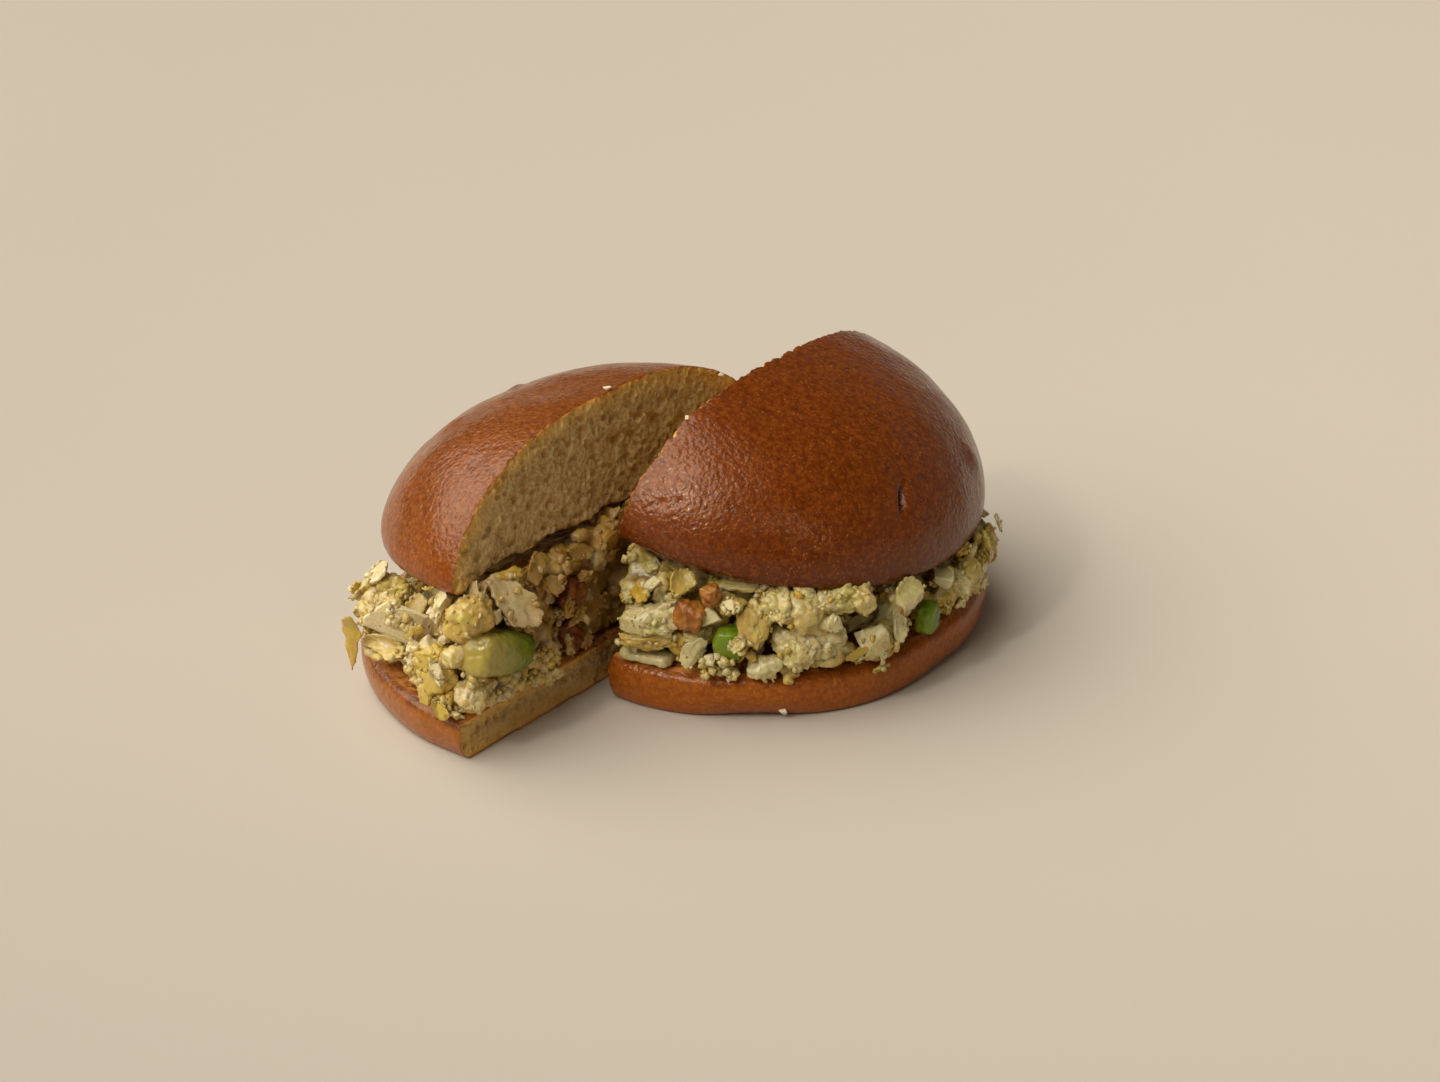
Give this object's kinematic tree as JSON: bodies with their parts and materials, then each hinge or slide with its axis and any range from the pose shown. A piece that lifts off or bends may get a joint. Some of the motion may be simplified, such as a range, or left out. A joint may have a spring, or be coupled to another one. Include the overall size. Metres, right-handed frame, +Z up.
{
  "type": "breakfast sandwich",
  "caption": "Round glossy brioche bun sandwich cut in two, filled with lumpy scrambled egg, avocado and tomato, one half slid back along the cut",
  "frame": {"origin": "middle of the box that bounds the two halves, on the surface they stand on", "axes": "+Z up, +Y along the cut from the left half towards the slid-back right half, +X across the cut from the left half to the right half"},
  "size_m": [0.1265, 0.1593, 0.0691],
  "materials": {
    "bread": "glossy baked crust over open pale crumb",
    "egg": "moist soft curds",
    "avocado": "smooth and moist",
    "tomato": "wet"
  },
  "bodies": {
    "root": {"left_bottom_bun": "bread", "left_egg_filling": "egg", "left_avocado_chunk": "avocado", "left_tomato_upper": "tomato", "left_tomato_lower": "tomato", "left_hanging_sliver": "egg", "left_top_bun": "bread", "right_bottom_bun": "bread", "right_egg_filling": "egg", "right_egg_slab": "egg", "right_tomato_lower": "tomato", "right_tomato_upper": "tomato", "right_avocado_front": "avocado", "right_avocado_side": "avocado", "right_top_bun": "bread"}
  },
  "joints": []
}
